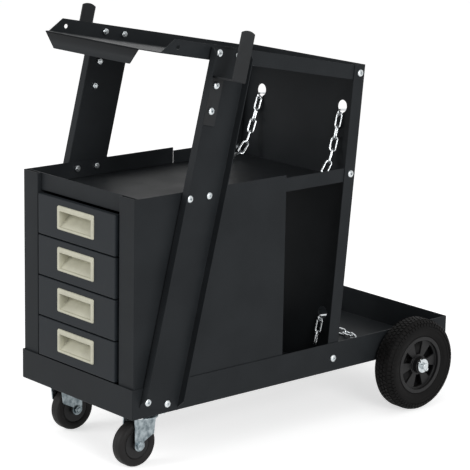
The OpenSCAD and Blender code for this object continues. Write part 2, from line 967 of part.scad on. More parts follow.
module upper_chain() {
  color(zinc) cart() {
    slot_links(key_rise);
    chain_run(run(hang_from(-keyhole_gap / 2, key_rise, 1, upper_steps[0]),
      upper_steps), [0, 1, 0], 90);
    chain_end(-keyhole_gap / 2, key_rise,
      concat(landing(left_end_angles, upper_drop), left_end_rest));
    chain_end(keyhole_gap / 2, key_rise, right_end_angles);
  }
}

// Lower chain: its loop hangs to the tray's floor and lies on it.
drop_angles = landing([86, 68, 50, 32], slot_bend(0, key_low_rise, 1).z
  - (floor_z + chain_link_w / 2 + fit_gap));
drop_n = len(drop_angles);
lying_links = 13;
lying_turn = arc_angle(lying_links, keyhole_gap, 0, 170);
lower_end_angles = [76, 74];
lower_steps = concat([for (a = drop_angles) [0, cos(a), -sin(a)]],
  [for (i = [0 : lying_links - 1]) let (b = arc_turn(lying_links,
    lying_turn, i)) [cos(b), sin(b), 0]],
  [for (i = [1 : drop_n]) let (a = drop_angles[drop_n - i])
    [0, -cos(a), sin(a)]]);

module lower_chain() {
  j = run(hang_from(-keyhole_gap / 2, key_low_rise, 1, lower_steps[0]),
    lower_steps);
  color(zinc) cart() {
    slot_links(key_low_rise);
    for (i = [0 : len(lower_steps) - 1])
      link_between(j[i], j[i + 1], cross([0, 0, 1], lower_steps[i]),
        90 * (i % 2));
    for (s = [-1, 1])
      chain_end(s * keyhole_gap / 2, key_low_rise, lower_end_angles);
  }
}

// Drawer box: an open sheet tray, cut in front for the pull's shell.
module drawer_box(k) {
  color("#3c3e40") cart() translate([0, box_front, box_z(k)]) difference() {
    translate([-drawer_box_w / 2, 0, 0])
      cube([drawer_box_w, drawer_box_l, drawer_box_h]);
    translate([drawer_t - drawer_box_w / 2, drawer_t, drawer_t])
      cube([drawer_box_w - 2 * drawer_t, drawer_box_l - 2 * drawer_t,
        drawer_box_h]);
    translate([0, -box_front, face_z(k) - box_z(k)])
      pull_hole();
  }
}

// Centre of a pull above the bottom of its front.
pull_z = drawer_face_h / 2 + pull_rise;

module pull_hole() {
  w = pull_w - 2 * pull_side + 2 * fit_gap;
  h = pull_h - 2 * pull_edge + 2 * fit_gap;
  translate([-w / 2, -overrun, pull_z - h / 2])
    cube([w, sheet_t + drawer_t + 2 * overrun, h]);
}

// Drawer front: a shallow pan that covers the box's front wall.
module drawer_front(k) {
  color(ink) cart() translate([0, 0, face_z(k)]) difference() {
    translate([-drawer_face_w / 2, 0, 0])
      cube([drawer_face_w, drawer_face_l, drawer_face_h]);
    translate([sheet_t - drawer_face_w / 2, sheet_t, sheet_t])
      cube([drawer_face_w - 2 * sheet_t, drawer_face_l,
        drawer_face_h - 2 * sheet_t]);
    pull_hole();
  }
}

// Recessed pull: a bezel on the front and a shell behind it, whose ramp
// rises from the mouth's sill to a pocket behind the upper lip.
module drawer_pull(k) {
  w = pull_w - 2 * pull_side;
  h = pull_h / 2 - pull_edge;
  mouth_w = w - 2 * pull_wall;
  sill = pull_sill - pull_h / 2;
  lip = pull_h / 2 - pull_lip;
  front = -pull_proud - overrun;
  back = pull_depth + pull_wall;
  color(beige) cart() translate([0, 0, face_z(k) + pull_z]) difference() {
    union() {
      along_y(pull_proud)
        rounded(pull_w, pull_h, pull_corner);
      translate([-w / 2, 0, 0])
        along_x(w)
          polygon([[0, -h], [back, pull_ramp - pull_wall], [back, h],
            [0, h]]);
    }
    translate([-mouth_w / 2, 0, 0])
      along_x(mouth_w)
        polygon([[front, sill], [0, sill], [pull_depth, pull_ramp],
          [pull_depth, h - pull_wall], [pull_wall, h - pull_wall],
          [pull_wall, lip], [front, lip]]);
  }
}

// Rectangle with round corners, centred.
module rounded(w, h, r) {
  square([w - 2 * r, h], center = true);
  square([w, h - 2 * r], center = true);
  for (x = [r - w / 2, w / 2 - r], y = [r - h / 2, h / 2 - r])
    translate([x, y])
      circle(r = r);
}

module drawer_1_box() { drawer_box(1); }
module drawer_2_box() { drawer_box(2); }
module drawer_3_box() { drawer_box(3); }
module drawer_4_box() { drawer_box(4); }
module drawer_1_front() { drawer_front(1); }
module drawer_2_front() { drawer_front(2); }
module drawer_3_front() { drawer_front(3); }
module drawer_4_front() { drawer_front(4); }
module drawer_1_pull() { drawer_pull(1); }
module drawer_2_pull() { drawer_pull(2); }
module drawer_3_pull() { drawer_pull(3); }
module drawer_4_pull() { drawer_pull(4); }

// Casters, each drawn round its swivel with the wheel toward +Y. The left
// one trails to the rear and the right one to the front.
module at_caster(s) {
  cart() translate([s * caster_gap / 2, caster_y, 0])
    rotate([0, 0, s > 0 ? 180 : 0])
      children();
}

plate_low = tray_z - plate_t;
crown_top = plate_low - race_h - fit_gap;
crown_low = crown_top - crown_t;
leg_in = caster_w / 2 + leg_gap;

module caster_plate(s) {
  color(zinc) at_caster(s) difference() {
    union() {
      translate([-plate_w / 2, -plate_w / 2, plate_low])
        cube([plate_w, plate_w, plate_t]);
      translate([0, 0, plate_low - race_h])
        cylinder(h = race_h, r = race_r);
    }
    translate([0, 0, plate_low - race_h - overrun])
      cylinder(h = plate_t + race_h + 2 * overrun, r = kingpin_r + run_gap);
    c = plate_w / 2 - plate_bolt_in;
    for (x = [-c, c], y = [-c, c])
      translate([x, y, plate_low])
        floor_hole();
  }
}

module left_caster_plate() { caster_plate(-1); }
module right_caster_plate() { caster_plate(1); }

module caster_kingpins() {
  pin_low = crown_low - fit_gap - kingpin_head_h;
  color(zinc) for (s = [-1, 1]) at_caster(s) {
    translate([0, 0, pin_low])
      cylinder(h = tray_z - pin_low, r = kingpin_r);
    translate([0, 0, pin_low])
      cylinder(h = kingpin_head_h, r = kingpin_head_r);
  }
}

// Fork: a crown plate with two legs that taper down to the axle.
module caster_fork(s) {
  axle_h = caster_d / 2;
  back = caster_trail + leg_end_r;
  knee_z = axle_h + (crown_top - axle_h) / 3;
  color(zinc) at_caster(s) difference() {
    union() {
      translate([0, 0, crown_low])
        cylinder(h = crown_t, r = crown_r);
      translate([-leg_in - leg_t, -leg_front, crown_low])
        cube([2 * (leg_in + leg_t), leg_front + back, crown_t]);
      for (k = [-1, 1]) on_side(k)
        translate([leg_in, 0, 0])
          along_x(leg_t) {
            polygon([[-leg_front, crown_top], [back, crown_top],
              [back, axle_h], [caster_trail, axle_h],
              [caster_trail - leg_end_r * cos(30),
                axle_h + leg_end_r * sin(30)],
              [leg_knee - leg_front, knee_z]]);
            translate([caster_trail, axle_h])
              circle(r = leg_end_r);
          }
    }
    translate([0, 0, crown_low - overrun])
      cylinder(h = crown_t + 2 * overrun, r = kingpin_r + run_gap);
    translate([0, caster_trail, axle_h])
      rotate([0, 90, 0])
        cylinder(h = 2 * plate_w, r = caster_bolt_r + run_gap,
          center = true);
  }
}

module left_caster_fork() { caster_fork(-1); }
module right_caster_fork() { caster_fork(1); }

// Axle bolt of a caster: head on one side, nut on the other.
module caster_bolt(s) {
  out = leg_in + leg_t;
  hex = caster_bolt_af / cos(30);
  color(zinc) at_caster(s)
    translate([0, caster_trail, caster_d / 2])
      rotate([0, 90, 0]) {
        translate([0, 0, -out])
          cylinder(h = 2 * out + caster_bolt_head + bolt_tail,
            r = caster_bolt_r);
        translate([0, 0, -out - caster_bolt_head])
          cylinder(h = caster_bolt_head, d = hex, $fn = 6);
        translate([0, 0, out])
          difference() {
            cylinder(h = caster_bolt_head, d = hex, $fn = 6);
            translate([0, 0, -overrun])
              cylinder(h = caster_bolt_head + 2 * overrun,
                r = caster_bolt_r + screw_gap);
          }
      }
}

module left_caster_bolt() { caster_bolt(-1); }
module right_caster_bolt() { caster_bolt(1); }

// Tyre section: half width h, from radius r0 to r1, round shoulders.
module tyre_section(r0, r1, h, shoulder) {
  translate([r0, -h])
    square([r1 - shoulder - r0, 2 * h]);
  translate([r0, shoulder - h])
    square([r1 - r0, 2 * (h - shoulder)]);
  for (y = [shoulder - h, h - shoulder])
    translate([r1 - shoulder, y])
      circle(r = shoulder);
}

module caster_tyre(s) {
  color(black) at_caster(s)
    translate([0, caster_trail, caster_d / 2])
      rotate([0, 90, 0])
        rotate_extrude($fn = 96)
          tyre_section(caster_core_r + screw_gap, caster_d / 2,
            caster_w / 2, caster_shoulder);
}

module left_caster_tyre() { caster_tyre(-1); }
module right_caster_tyre() { caster_tyre(1); }

module caster_core(s) {
  half = leg_in - core_side_gap;
  color(dark_core) at_caster(s)
    translate([0, caster_trail, caster_d / 2])
      rotate([0, 90, 0])
        difference() {
          union() {
            cylinder(h = caster_w - 2 * leg_t, r = caster_core_r,
              center = true);
            cylinder(h = 2 * half, r = 2 * caster_bolt_r, center = true);
          }
          cylinder(h = caster_w * 2, r = caster_bolt_r + run_gap,
            center = true);
        }
}

module left_caster_core() { caster_core(-1); }
module right_caster_core() { caster_core(1); }

// Rear wheels, drawn on the right and mirrored to the left.
module at_wheel(s) {
  cart() on_side(s) translate([wheel_x, wheel_y, axle_z])
    rotate([0, 90, 0])
      children();
}

module rear_tyre(s) {
  color(black) at_wheel(s)
    rotate_extrude($fn = 128)
      tyre_section(rim_r + screw_gap, wheel_d / 2, wheel_w / 2,
        wheel_shoulder);
}

module left_rear_tyre() { rear_tyre(-1); }
module right_rear_tyre() { rear_tyre(1); }

// Opening in the rim's disc: a wedge between two radii.
module rim_window() {
  half_angle = 360 / rim_windows * window_share / 2;
  outer = rim_r - rim_wall - window_gap;
  intersection() {
    difference() {
      circle(r = outer);
      circle(r = window_in);
    }
    polygon([[0, 0], [rim_r * cos(half_angle), -rim_r * sin(half_angle)],
      [rim_r * cos(half_angle), rim_r * sin(half_angle)]]);
  }
}

// Rim: barrel, disc with wedge openings, closed web behind it and hub
// round the bush.
module rear_rim(s) {
  bush_r = axle_r + run_gap + bush_wall;
  disc_z = wheel_w / 2 - rim_disc_out - rim_disc_t;
  color(dark_core) at_wheel(s) difference() {
    union() {
      difference() {
        cylinder(h = rim_lip_w, r = rim_r, center = true);
        cylinder(h = wheel_w, r = rim_r - rim_wall, center = true);
      }
      translate([0, 0, disc_z])
        linear_extrude(rim_disc_t)
          difference() {
            circle(r = rim_r - rim_wall / 2);
            for (i = [0 : rim_windows - 1])
              rotate([0, 0, i * 360 / rim_windows + window_turn])
                rim_window();
          }
      translate([0, 0, -disc_z])
        cylinder(h = rim_back_t, r = rim_r - rim_wall / 2);
      cylinder(h = wheel_w, r = hub_r, center = true);
    }
    cylinder(h = 2 * wheel_w, r = bush_r + screw_gap, center = true);
  }
}

module left_rear_rim() { rear_rim(-1); }
module right_rear_rim() { rear_rim(1); }

module rear_bush(s) {
  l = wheel_w + 2 * core_side_gap;
  color(zinc) at_wheel(s) difference() {
    cylinder(h = l, r = axle_r + run_gap + bush_wall, center = true);
    cylinder(h = 2 * l, r = axle_r + run_gap, center = true);
  }
}

module left_rear_bush() { rear_bush(-1); }
module right_rear_bush() { rear_bush(1); }

base_tray();
cabinet_shell();
cabinet_top();
left_drawer_guide();
right_drawer_guide();
left_upright();
right_upright();
left_cable_hook();
right_cable_hook();
top_tray();
rear_panel();
middle_shelf();
rear_axle();
axle_brackets();
bracket_bolts();
frame_screws();
frame_nuts();
spacer_washers();
axle_spacers();
axle_washers();
cotter_pins();
upper_chain();
lower_chain();
left_caster_plate();
right_caster_plate();
caster_kingpins();
caster_plate_bolts();
drawer_1_box();
drawer_1_front();
drawer_1_pull();
drawer_2_box();
drawer_2_front();
drawer_2_pull();
drawer_3_box();
drawer_3_front();
drawer_3_pull();
drawer_4_box();
drawer_4_front();
drawer_4_pull();
left_caster_fork();
right_caster_fork();
left_caster_bolt();
right_caster_bolt();
left_caster_tyre();
right_caster_tyre();
left_caster_core();
right_caster_core();
left_rear_tyre();
right_rear_tyre();
left_rear_rim();
right_rear_rim();
left_rear_bush();
right_rear_bush();
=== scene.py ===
from math import cos, pi, radians, sin

import bmesh
import bpy
import numpy as np
from mathutils import Matrix, Vector
from mathutils.bvhtree import BVHTree
from mathutils.geometry import intersect_point_line


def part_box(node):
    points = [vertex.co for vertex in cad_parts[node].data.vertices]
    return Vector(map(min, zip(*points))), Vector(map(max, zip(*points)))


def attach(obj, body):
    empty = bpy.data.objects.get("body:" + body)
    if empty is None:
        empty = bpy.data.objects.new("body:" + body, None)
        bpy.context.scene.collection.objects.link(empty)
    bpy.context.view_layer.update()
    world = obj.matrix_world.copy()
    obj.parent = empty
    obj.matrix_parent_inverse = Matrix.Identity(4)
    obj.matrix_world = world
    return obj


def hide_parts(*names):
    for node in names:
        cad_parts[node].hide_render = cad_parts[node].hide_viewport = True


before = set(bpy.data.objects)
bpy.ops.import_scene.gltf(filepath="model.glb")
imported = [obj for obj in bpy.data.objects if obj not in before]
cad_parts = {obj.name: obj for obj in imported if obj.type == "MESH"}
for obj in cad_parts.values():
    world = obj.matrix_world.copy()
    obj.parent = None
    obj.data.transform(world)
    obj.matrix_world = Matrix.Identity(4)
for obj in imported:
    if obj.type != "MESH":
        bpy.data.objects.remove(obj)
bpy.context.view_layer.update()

scene = bpy.context.scene
scene.view_settings.view_transform = "Standard"


# ---------------------------------------------------------------------------
# The photographer's camera: a long lens some three metres off, turned to the
# cart's front right corner and a little above its top tray. Its place comes
# from the cart's own straight edges.
view_target = Vector((0.20698, -0.20070, 0.390))
view_turn = radians(48.63)
view_rise = radians(13.48)
view_roll = radians(1.04)
view_distance = 3.3515
focal_pixels = 2090.5
picture_pixels = 470
sensor_width = 36
sight_end = 60

to_camera = Vector((sin(view_turn) * cos(view_rise),
                    -cos(view_turn) * cos(view_rise), sin(view_rise)))
level_right = Vector((cos(view_turn), sin(view_turn), 0))
level_up = to_camera.cross(level_right)
camera_right = level_right * cos(view_roll) + level_up * sin(view_roll)
camera_up = level_up * cos(view_roll) - level_right * sin(view_roll)
camera_data = bpy.data.cameras.new("photographer")
camera_data.sensor_width = sensor_width
camera_data.lens = focal_pixels / picture_pixels * sensor_width
camera_data.clip_end = sight_end
camera = bpy.data.objects.new("photographer", camera_data)
camera.matrix_world = Matrix.LocRotScale(
    view_target + to_camera * view_distance,
    Matrix((camera_right, camera_up, to_camera)).transposed(), None)
scene.collection.objects.link(camera)
scene.camera = camera


# ---------------------------------------------------------------------------
# The studio: a white floor that keeps the cart's soft shadow, a white world
# round it and three soft boxes, before the drawers, overhead and beside the
# cart's right wall. Floor and world look white but light the cart less.
def put(tree, kind, settings=None, **sockets):
    """Adds a node, with its settings and with its sockets by their names."""
    made = tree.nodes.new(kind)
    for key, value in (settings or {}).items():
        setattr(made, key, value)
    for key, value in sockets.items():
        join(tree, value, made.inputs[key.replace("_", " ")])
    return made


def join(tree, value, target):
    """Links a socket to a node's input, or writes a value there."""
    if isinstance(value, bpy.types.NodeSocket):
        tree.links.new(value, target)
    else:
        target.default_value = value


def maths(tree, operation, *values):
    """One sum on numbers or sockets."""
    made = put(tree, "ShaderNodeMath", {"operation": operation})
    for value, target in zip(values, made.inputs):
        join(tree, value, target)
    return made.outputs[0]


floor_reach = 30
floor_grey = 0.8
floor_glow = 0.61
floor_mesh = bpy.data.meshes.new("studio_floor")
floor_mesh.from_pydata(
    [(x * floor_reach, y * floor_reach, 0)
     for x, y in ((-1, -1), (1, -1), (1, 1), (-1, 1))], [], [(0, 1, 2, 3)])
floor = bpy.data.objects.new("studio_floor", floor_mesh)
scene.collection.objects.link(floor)
floor_paint = bpy.data.materials.new("studio_floor")
floor_paint.use_nodes = True
floor_tree = floor_paint.node_tree
floor_ray = put(floor_tree, "ShaderNodeLightPath").outputs
floor_seen = maths(floor_tree, "MAXIMUM", floor_ray["Is Camera Ray"],
                   floor_ray["Is Glossy Ray"])
floor_shader = floor_tree.nodes["Principled BSDF"]
for key, value in (
        ("Base Color", (floor_grey, floor_grey, floor_grey, 1)),
        ("Emission Color", (1, 1, 1, 1)),
        ("Emission Strength", maths(floor_tree, "MULTIPLY", floor_glow,
                                    floor_seen)),
        ("Roughness", 0.9), ("Specular IOR Level", 0.1)):
    join(floor_tree, value, floor_shader.inputs[key])
floor_mesh.materials.append(floor_paint)

sky_strength = 0.46
world = bpy.data.worlds.new("studio")
world.use_nodes = True
scene.world = world
sky = world.node_tree
sky.nodes.clear()
ray = put(sky, "ShaderNodeLightPath").outputs
seen = maths(sky, "MAXIMUM", ray["Is Camera Ray"],
             maths(sky, "MAXIMUM", ray["Is Glossy Ray"],
                   ray["Is Transmission Ray"]))
strength = maths(sky, "MULTIPLY_ADD", seen, 1 - sky_strength, sky_strength)
white = put(sky, "ShaderNodeBackground", Color=(1, 1, 1, 1),
            Strength=strength)
put(sky, "ShaderNodeOutputWorld", Surface=white.outputs[0])


def soft_box(name, place, aim, size, power):
    """Square area lamp that looks from its place to its aim."""
    lamp = bpy.data.lights.new(name, "AREA")
    lamp.size = size
    lamp.energy = power
    box = bpy.data.objects.new(name, lamp)
    look = (Vector(aim) - Vector(place)).to_track_quat("-Z", "Y")
    box.matrix_world = Matrix.Translation(place) @ look.to_matrix().to_4x4()
    scene.collection.objects.link(box)


soft_box("front_box", place=(-1.2, -3.2, 1.7), aim=(0, -0.2, 0.35), size=1.8,
         power=47)
soft_box("top_box", place=(0.6, -0.6, 3.2), aim=(0, 0, 0.3), size=2.2, power=8)
soft_box("side_box", place=(3.4, -0.9, 1.5), aim=(0, 0, 0.35), size=1.6,
         power=60)


# ---------------------------------------------------------------------------
# Painted sheet: every pressed piece is cut from flat steel, folded on a brake
# and powder coated. Folds are round outside, cut edges are barely broken, and
# the coat has a fine orange peel over the sheet's slow waves.
def weld(work):
    """Merges equal vertices, and those that lie on an open edge into it."""
    near = 1e-5
    bmesh.ops.remove_doubles(work, verts=work.verts, dist=near)
    rim = [edge for edge in work.edges if edge.is_boundary]
    corners = {vertex for edge in rim for vertex in edge.verts}
    for edge in rim:
        start, end = (vertex.co for vertex in edge.verts)
        for vertex in corners.difference(edge.verts):
            foot, share = intersect_point_line(vertex.co, start, end)
            if 0 < share < 1 and (foot - vertex.co).length < near:
                bmesh.utils.edge_split(edge, edge.verts[0], share)
                break
    bmesh.ops.remove_doubles(work, verts=work.verts, dist=near)


def whole_faces(node):
    """A CAD node's mesh with its loose triangles joined to whole faces."""
    same_face = radians(0.5)
    work = bmesh.new()
    work.from_mesh(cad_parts[node].data)
    weld(work)
    bmesh.ops.dissolve_limit(work, angle_limit=same_face,
                             verts=work.verts, edges=work.edges)
    return work


def made_solid(shape, name):
    """The mesh that an object's modifiers make, in place of the object."""
    graph = bpy.context.evaluated_depsgraph_get()
    mesh = bpy.data.meshes.new_from_object(shape.evaluated_get(graph))
    mesh.name = name
    bpy.data.objects.remove(shape)
    return mesh


def narrow_at(solid, edge, limit):
    """Whether a face beside an edge is narrower there than a limit."""
    nudge = 1e-4
    for loop in edge.link_loops:
        start = loop.vert.co
        along = loop.link_loop_next.vert.co - start
        inward = loop.face.normal.cross(along).normalized()
        below = (inward - loop.face.normal) * nudge
        for share in (0.05, 0.3, 0.7, 0.95):
            origin = start + along * share + below
            if solid.ray_cast(origin, inward, limit)[0]:
                return True
    return False


def softened(node, name, thick=0.0, fold=0.0015, inside=0.0004,
             cut=0.00015, steps=3):
    """Copy of a CAD node whose folds, inner corners and cuts are rounded.

    An edge beside a face that is hardly wider than the sheet is thick, or
    too narrow for two folds, is a cut. One that meets an edge of more than
    two faces stays sharp, as a bevel would open the mesh there."""
    least_turn, spare = radians(25), 1.4
    limit = max(spare * thick, 2 * fold)
    work = whole_faces(node)
    weight = work.edges.layers.float.new("bevel_weight_edge")
    solid = BVHTree.FromBMesh(work)
    forks = {vertex for edge in work.edges if len(edge.link_faces) > 2
             for vertex in edge.verts}
    for edge in work.edges:
        if (len(edge.link_faces) != 2 or forks.intersection(edge.verts)
                or edge.calc_face_angle() < least_turn):
            continue
        radius = fold if edge.is_convex else inside
        if edge.is_convex and narrow_at(solid, edge, limit):
            radius = cut
        edge[weight] = radius / fold
    mesh = bpy.data.meshes.new(name)
    work.to_mesh(mesh)
    work.free()
    mesh.shade_smooth()
    shape = bpy.data.objects.new(name, mesh)
    scene.collection.objects.link(shape)
    bevel = shape.modifiers.new("rounding", "BEVEL")
    bevel.limit_method = "WEIGHT"
    bevel.width = fold
    bevel.segments = steps
    bevel.use_clamp_overlap = False
    bevel.loop_slide = False
    flat = shape.modifiers.new("flatness", "WEIGHTED_NORMAL")
    flat.mode = "FACE_AREA"
    flat.weight = 50
    return made_solid(shape, name)


def settle(mesh, name, coat, body, slot, *nodes):
    """Makes a mesh a finished piece that stands for CAD nodes on a body."""
    piece = bpy.data.objects.new(name, mesh)
    scene.collection.objects.link(piece)
    mesh.materials.clear()
    mesh.materials.append(coat)
    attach(piece, body)
    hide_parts(*nodes)


def new_group(name, gives, **takes):
    """Empty shader node group with its outputs and its inputs' values."""
    group = bpy.data.node_groups.new(name, "ShaderNodeTree")
    for key, value in takes.items():
        made = group.interface.new_socket(key.replace("_", " "),
                                          in_out="INPUT",
                                          socket_type="NodeSocketFloat")
        made.default_value = value
    for key, kind in gives.items():
        group.interface.new_socket(key, in_out="OUTPUT", socket_type=kind)
    return group


# Relief: fine grain and slow waves as a height in metres, and a patch mask.
relief = new_group("relief", {"Height": "NodeSocketFloat",
                              "Patch": "NodeSocketFloat"},
                   Grain_Size=0.001, Grain_Depth=0.00002,
                   Wave_Size=0.12, Wave_Depth=0.0001)
taken = put(relief, "NodeGroupInput").outputs
spot = put(relief, "ShaderNodeTexCoord").outputs["Object"]
grain = put(relief, "ShaderNodeTexNoise", Vector=spot, Detail=2.0,
            Scale=maths(relief, "DIVIDE", 1.0, taken["Grain Size"]))
wave = put(relief, "ShaderNodeTexNoise", Vector=spot, Detail=1.0,
           Scale=maths(relief, "DIVIDE", 1.0, taken["Wave Size"]))
patches_a_wave = 2.3
patch = put(relief, "ShaderNodeTexNoise", Vector=spot, Detail=4.0,
            Scale=maths(relief, "DIVIDE", patches_a_wave, taken["Wave Size"]))
height = maths(relief, "ADD",
               maths(relief, "MULTIPLY", grain.outputs["Fac"],
                     taken["Grain Depth"]),
               maths(relief, "MULTIPLY", wave.outputs["Fac"],
                     taken["Wave Depth"]))
spread = put(relief, "ShaderNodeMapRange",
             {"interpolation_type": "SMOOTHSTEP"},
             Value=patch.outputs["Fac"], From_Min=0.3, From_Max=0.7)
put(relief, "NodeGroupOutput", Height=height, Patch=spread.outputs["Result"])

# Marks: fine rubbed lines that handling leaves, thin and broken.
marks = new_group("marks", {"Mask": "NodeSocketFloat"}, Amount=0.5)
taken = put(marks, "NodeGroupInput").outputs
spot = put(marks, "ShaderNodeTexCoord").outputs["Object"]
lines = []
for turn, stretch in (((0.4, 0.2, 0.3), (900, 40, 60)),
                      ((1.3, 0.7, 2.1), (50, 1100, 40))):
    lean = put(marks, "ShaderNodeMapping", Vector=spot, Rotation=turn,
               Scale=stretch)
    streak = put(marks, "ShaderNodeTexNoise", Vector=lean.outputs[0],
                 Scale=1.0, Detail=1.0)
    lines.append(put(marks, "ShaderNodeMapRange", Value=streak.outputs["Fac"],
                     From_Min=0.68, From_Max=0.78).outputs["Result"])
put(marks, "NodeGroupOutput", Mask=maths(
    marks, "MULTIPLY", taken["Amount"], maths(marks, "MAXIMUM", *lines)))

# Dust: a thin pale film that settles on what faces up.
dust = new_group("dust", {"Mask": "NodeSocketFloat"}, Amount=0.1)
taken = put(dust, "NodeGroupInput").outputs
spot = put(dust, "ShaderNodeTexCoord").outputs["Object"]
upward = put(dust, "ShaderNodeSeparateXYZ", Vector=put(
    dust, "ShaderNodeNewGeometry").outputs["Normal"]).outputs["Z"]
cloud = put(dust, "ShaderNodeTexNoise", Vector=spot, Scale=14.0, Detail=6.0)
lying = maths(dust, "POWER", maths(dust, "MAXIMUM", upward, 0.0), 3.0)
put(dust, "NodeGroupOutput", Mask=maths(
    dust, "MULTIPLY", lying,
    maths(dust, "MULTIPLY", cloud.outputs["Fac"], taken["Amount"])))


def blend(tree, share, first, second):
    """Colour mixed from two by a share of the second."""
    made = put(tree, "ShaderNodeMix", {"data_type": "RGBA"})
    for value, place in ((share, 0), (first, 6), (second, 7)):
        join(tree, value, made.inputs[place])
    return made.outputs[2]


def surface(name, dark, light, rough, grain, wave, metal=0.0, specular=0.5,
            rub=0.3, film=0.04):
    """Material from two tones, two roughnesses and the three effects.

    Grain and wave are each a size and a depth in metres."""
    dust_tone = (0.35, 0.33, 0.3, 1)
    polish = 0.15
    made = bpy.data.materials.new(name)
    made.use_nodes = True
    tree = made.node_tree
    shader = tree.nodes["Principled BSDF"]
    shader.inputs["Metallic"].default_value = metal
    shader.inputs["Specular IOR Level"].default_value = specular
    form = put(tree, "ShaderNodeGroup", {"node_tree": relief},
               Grain_Size=grain[0], Grain_Depth=grain[1],
               Wave_Size=wave[0], Wave_Depth=wave[1]).outputs
    rubbed = put(tree, "ShaderNodeGroup", {"node_tree": marks},
                 Amount=rub).outputs["Mask"]
    settled = put(tree, "ShaderNodeGroup", {"node_tree": dust},
                  Amount=film).outputs["Mask"]
    tone = blend(tree, form["Patch"], (*dark, 1), (*light, 1))
    join(tree, blend(tree, settled, tone, dust_tone),
         shader.inputs["Base Color"])
    sheen = put(tree, "ShaderNodeMapRange", Value=form["Patch"],
                To_Min=rough[0], To_Max=rough[1]).outputs["Result"]
    smoothed = maths(tree, "MULTIPLY", rubbed, polish)
    join(tree, maths(tree, "SUBTRACT", sheen, smoothed),
         shader.inputs["Roughness"])
    bump = put(tree, "ShaderNodeBump", Height=form["Height"], Strength=1.0,
               Distance=1.0)
    join(tree, bump.outputs[0], shader.inputs["Normal"])
    return made


sheet = 0.0015
black_coat = surface("black_powder_coat", (0.0150, 0.0170, 0.0190),
                     (0.0190, 0.0214, 0.0236), (0.42, 0.5),
                     (0.0009, 0.000012), (0.16, 0.00025), specular=0.08,
                     film=0.008)


# ---------------------------------------------------------------------------
# Base tray: one blank folded up on four sides. It carries the cabinet, the
# uprights and the panel, and its rear end is the platform for bottles.
settle(softened("base_tray", "base_tray_pan", sheet), "base_tray_pan",
       black_coat, "cart", "body_paint", "base_tray")


# ---------------------------------------------------------------------------
# Cabinet: a shell with stiles and a rear wall, a sunk top sheet with its
# front rail, and two channels inside with a ledge for each drawer.
for node, name in (("cabinet_shell", "cabinet_walls"),
                   ("cabinet_top", "cabinet_deck"),
                   ("left_drawer_guide", "left_guide_channel"),
                   ("right_drawer_guide", "right_guide_channel")):
    settle(softened(node, name, sheet), name, black_coat, "cart",
           "inner_paint" if "guide" in node else "body_paint", node)


# ---------------------------------------------------------------------------
# Drawers: each is an open box of thinner sheet behind a shallow front pan,
# which has softer edges and a semi-matt coat.
front_coat = surface("front_powder_coat", (0.0110, 0.0138, 0.0168),
                     (0.0132, 0.0164, 0.0196), (0.46, 0.54),
                     (0.0009, 0.000012), (0.14, 0.0002), specular=0.15,
                     film=0.01)
drawer_sheet = 0.0012
drawers = range(1, 5)
for k in drawers:
    settle(softened(f"drawer_{k}_box", f"drawer_{k}_tray", drawer_sheet,
                    fold=0.0012), f"drawer_{k}_tray", black_coat,
           f"drawer_{k}", "inner_paint", f"drawer_{k}_box")
    settle(softened(f"drawer_{k}_front", f"drawer_{k}_face", sheet,
                    fold=0.0018, steps=4), f"drawer_{k}_face", front_coat,
           f"drawer_{k}", "front_paint", f"drawer_{k}_front")


# ---------------------------------------------------------------------------
# Pulls: a moulded frame clipped into each front, with a thick upper lip and
# a ramp that rises from the sill to a pocket behind the lip.
crease = radians(32)


def loft(name, loops, closed=False):
    """Skin over loops of points: capped at its ends, or a closed ring."""
    work = bmesh.new()
    rings = [[work.verts.new(p) for p in loop] for loop in loops]
    sides = len(rings[0])
    for a, b in zip(rings, rings[1:] + rings[:1] if closed else rings[1:]):
        for i in range(sides):
            j = (i + 1) % sides
            work.faces.new((a[i], a[j], b[j], b[i]))
    if not closed:
        work.faces.new(rings[0][::-1])
        work.faces.new(rings[-1])
    bmesh.ops.remove_doubles(work, verts=work.verts, dist=1e-6)
    bmesh.ops.recalc_face_normals(work, faces=work.faces)
    mesh = bpy.data.meshes.new(name)
    work.to_mesh(mesh)
    work.free()
    mesh.shade_smooth()
    mesh.set_sharp_from_angle(angle=crease)
    return mesh


def round_frame(width, low, high, corner, depth, place):
    """Points round an upright rectangle with round corners."""
    steps = 6
    points = []
    for x, z, start in ((width / 2 - corner, high - corner, 0),
                        (corner - width / 2, high - corner, 90),
                        (corner - width / 2, low + corner, 180),
                        (width / 2 - corner, low + corner, 270)):
        for i in range(steps + 1):
            a = radians(start + 90 * i / steps)
            points.append(place + Vector((x + corner * cos(a), depth,
                                          z + corner * sin(a))))
    return points


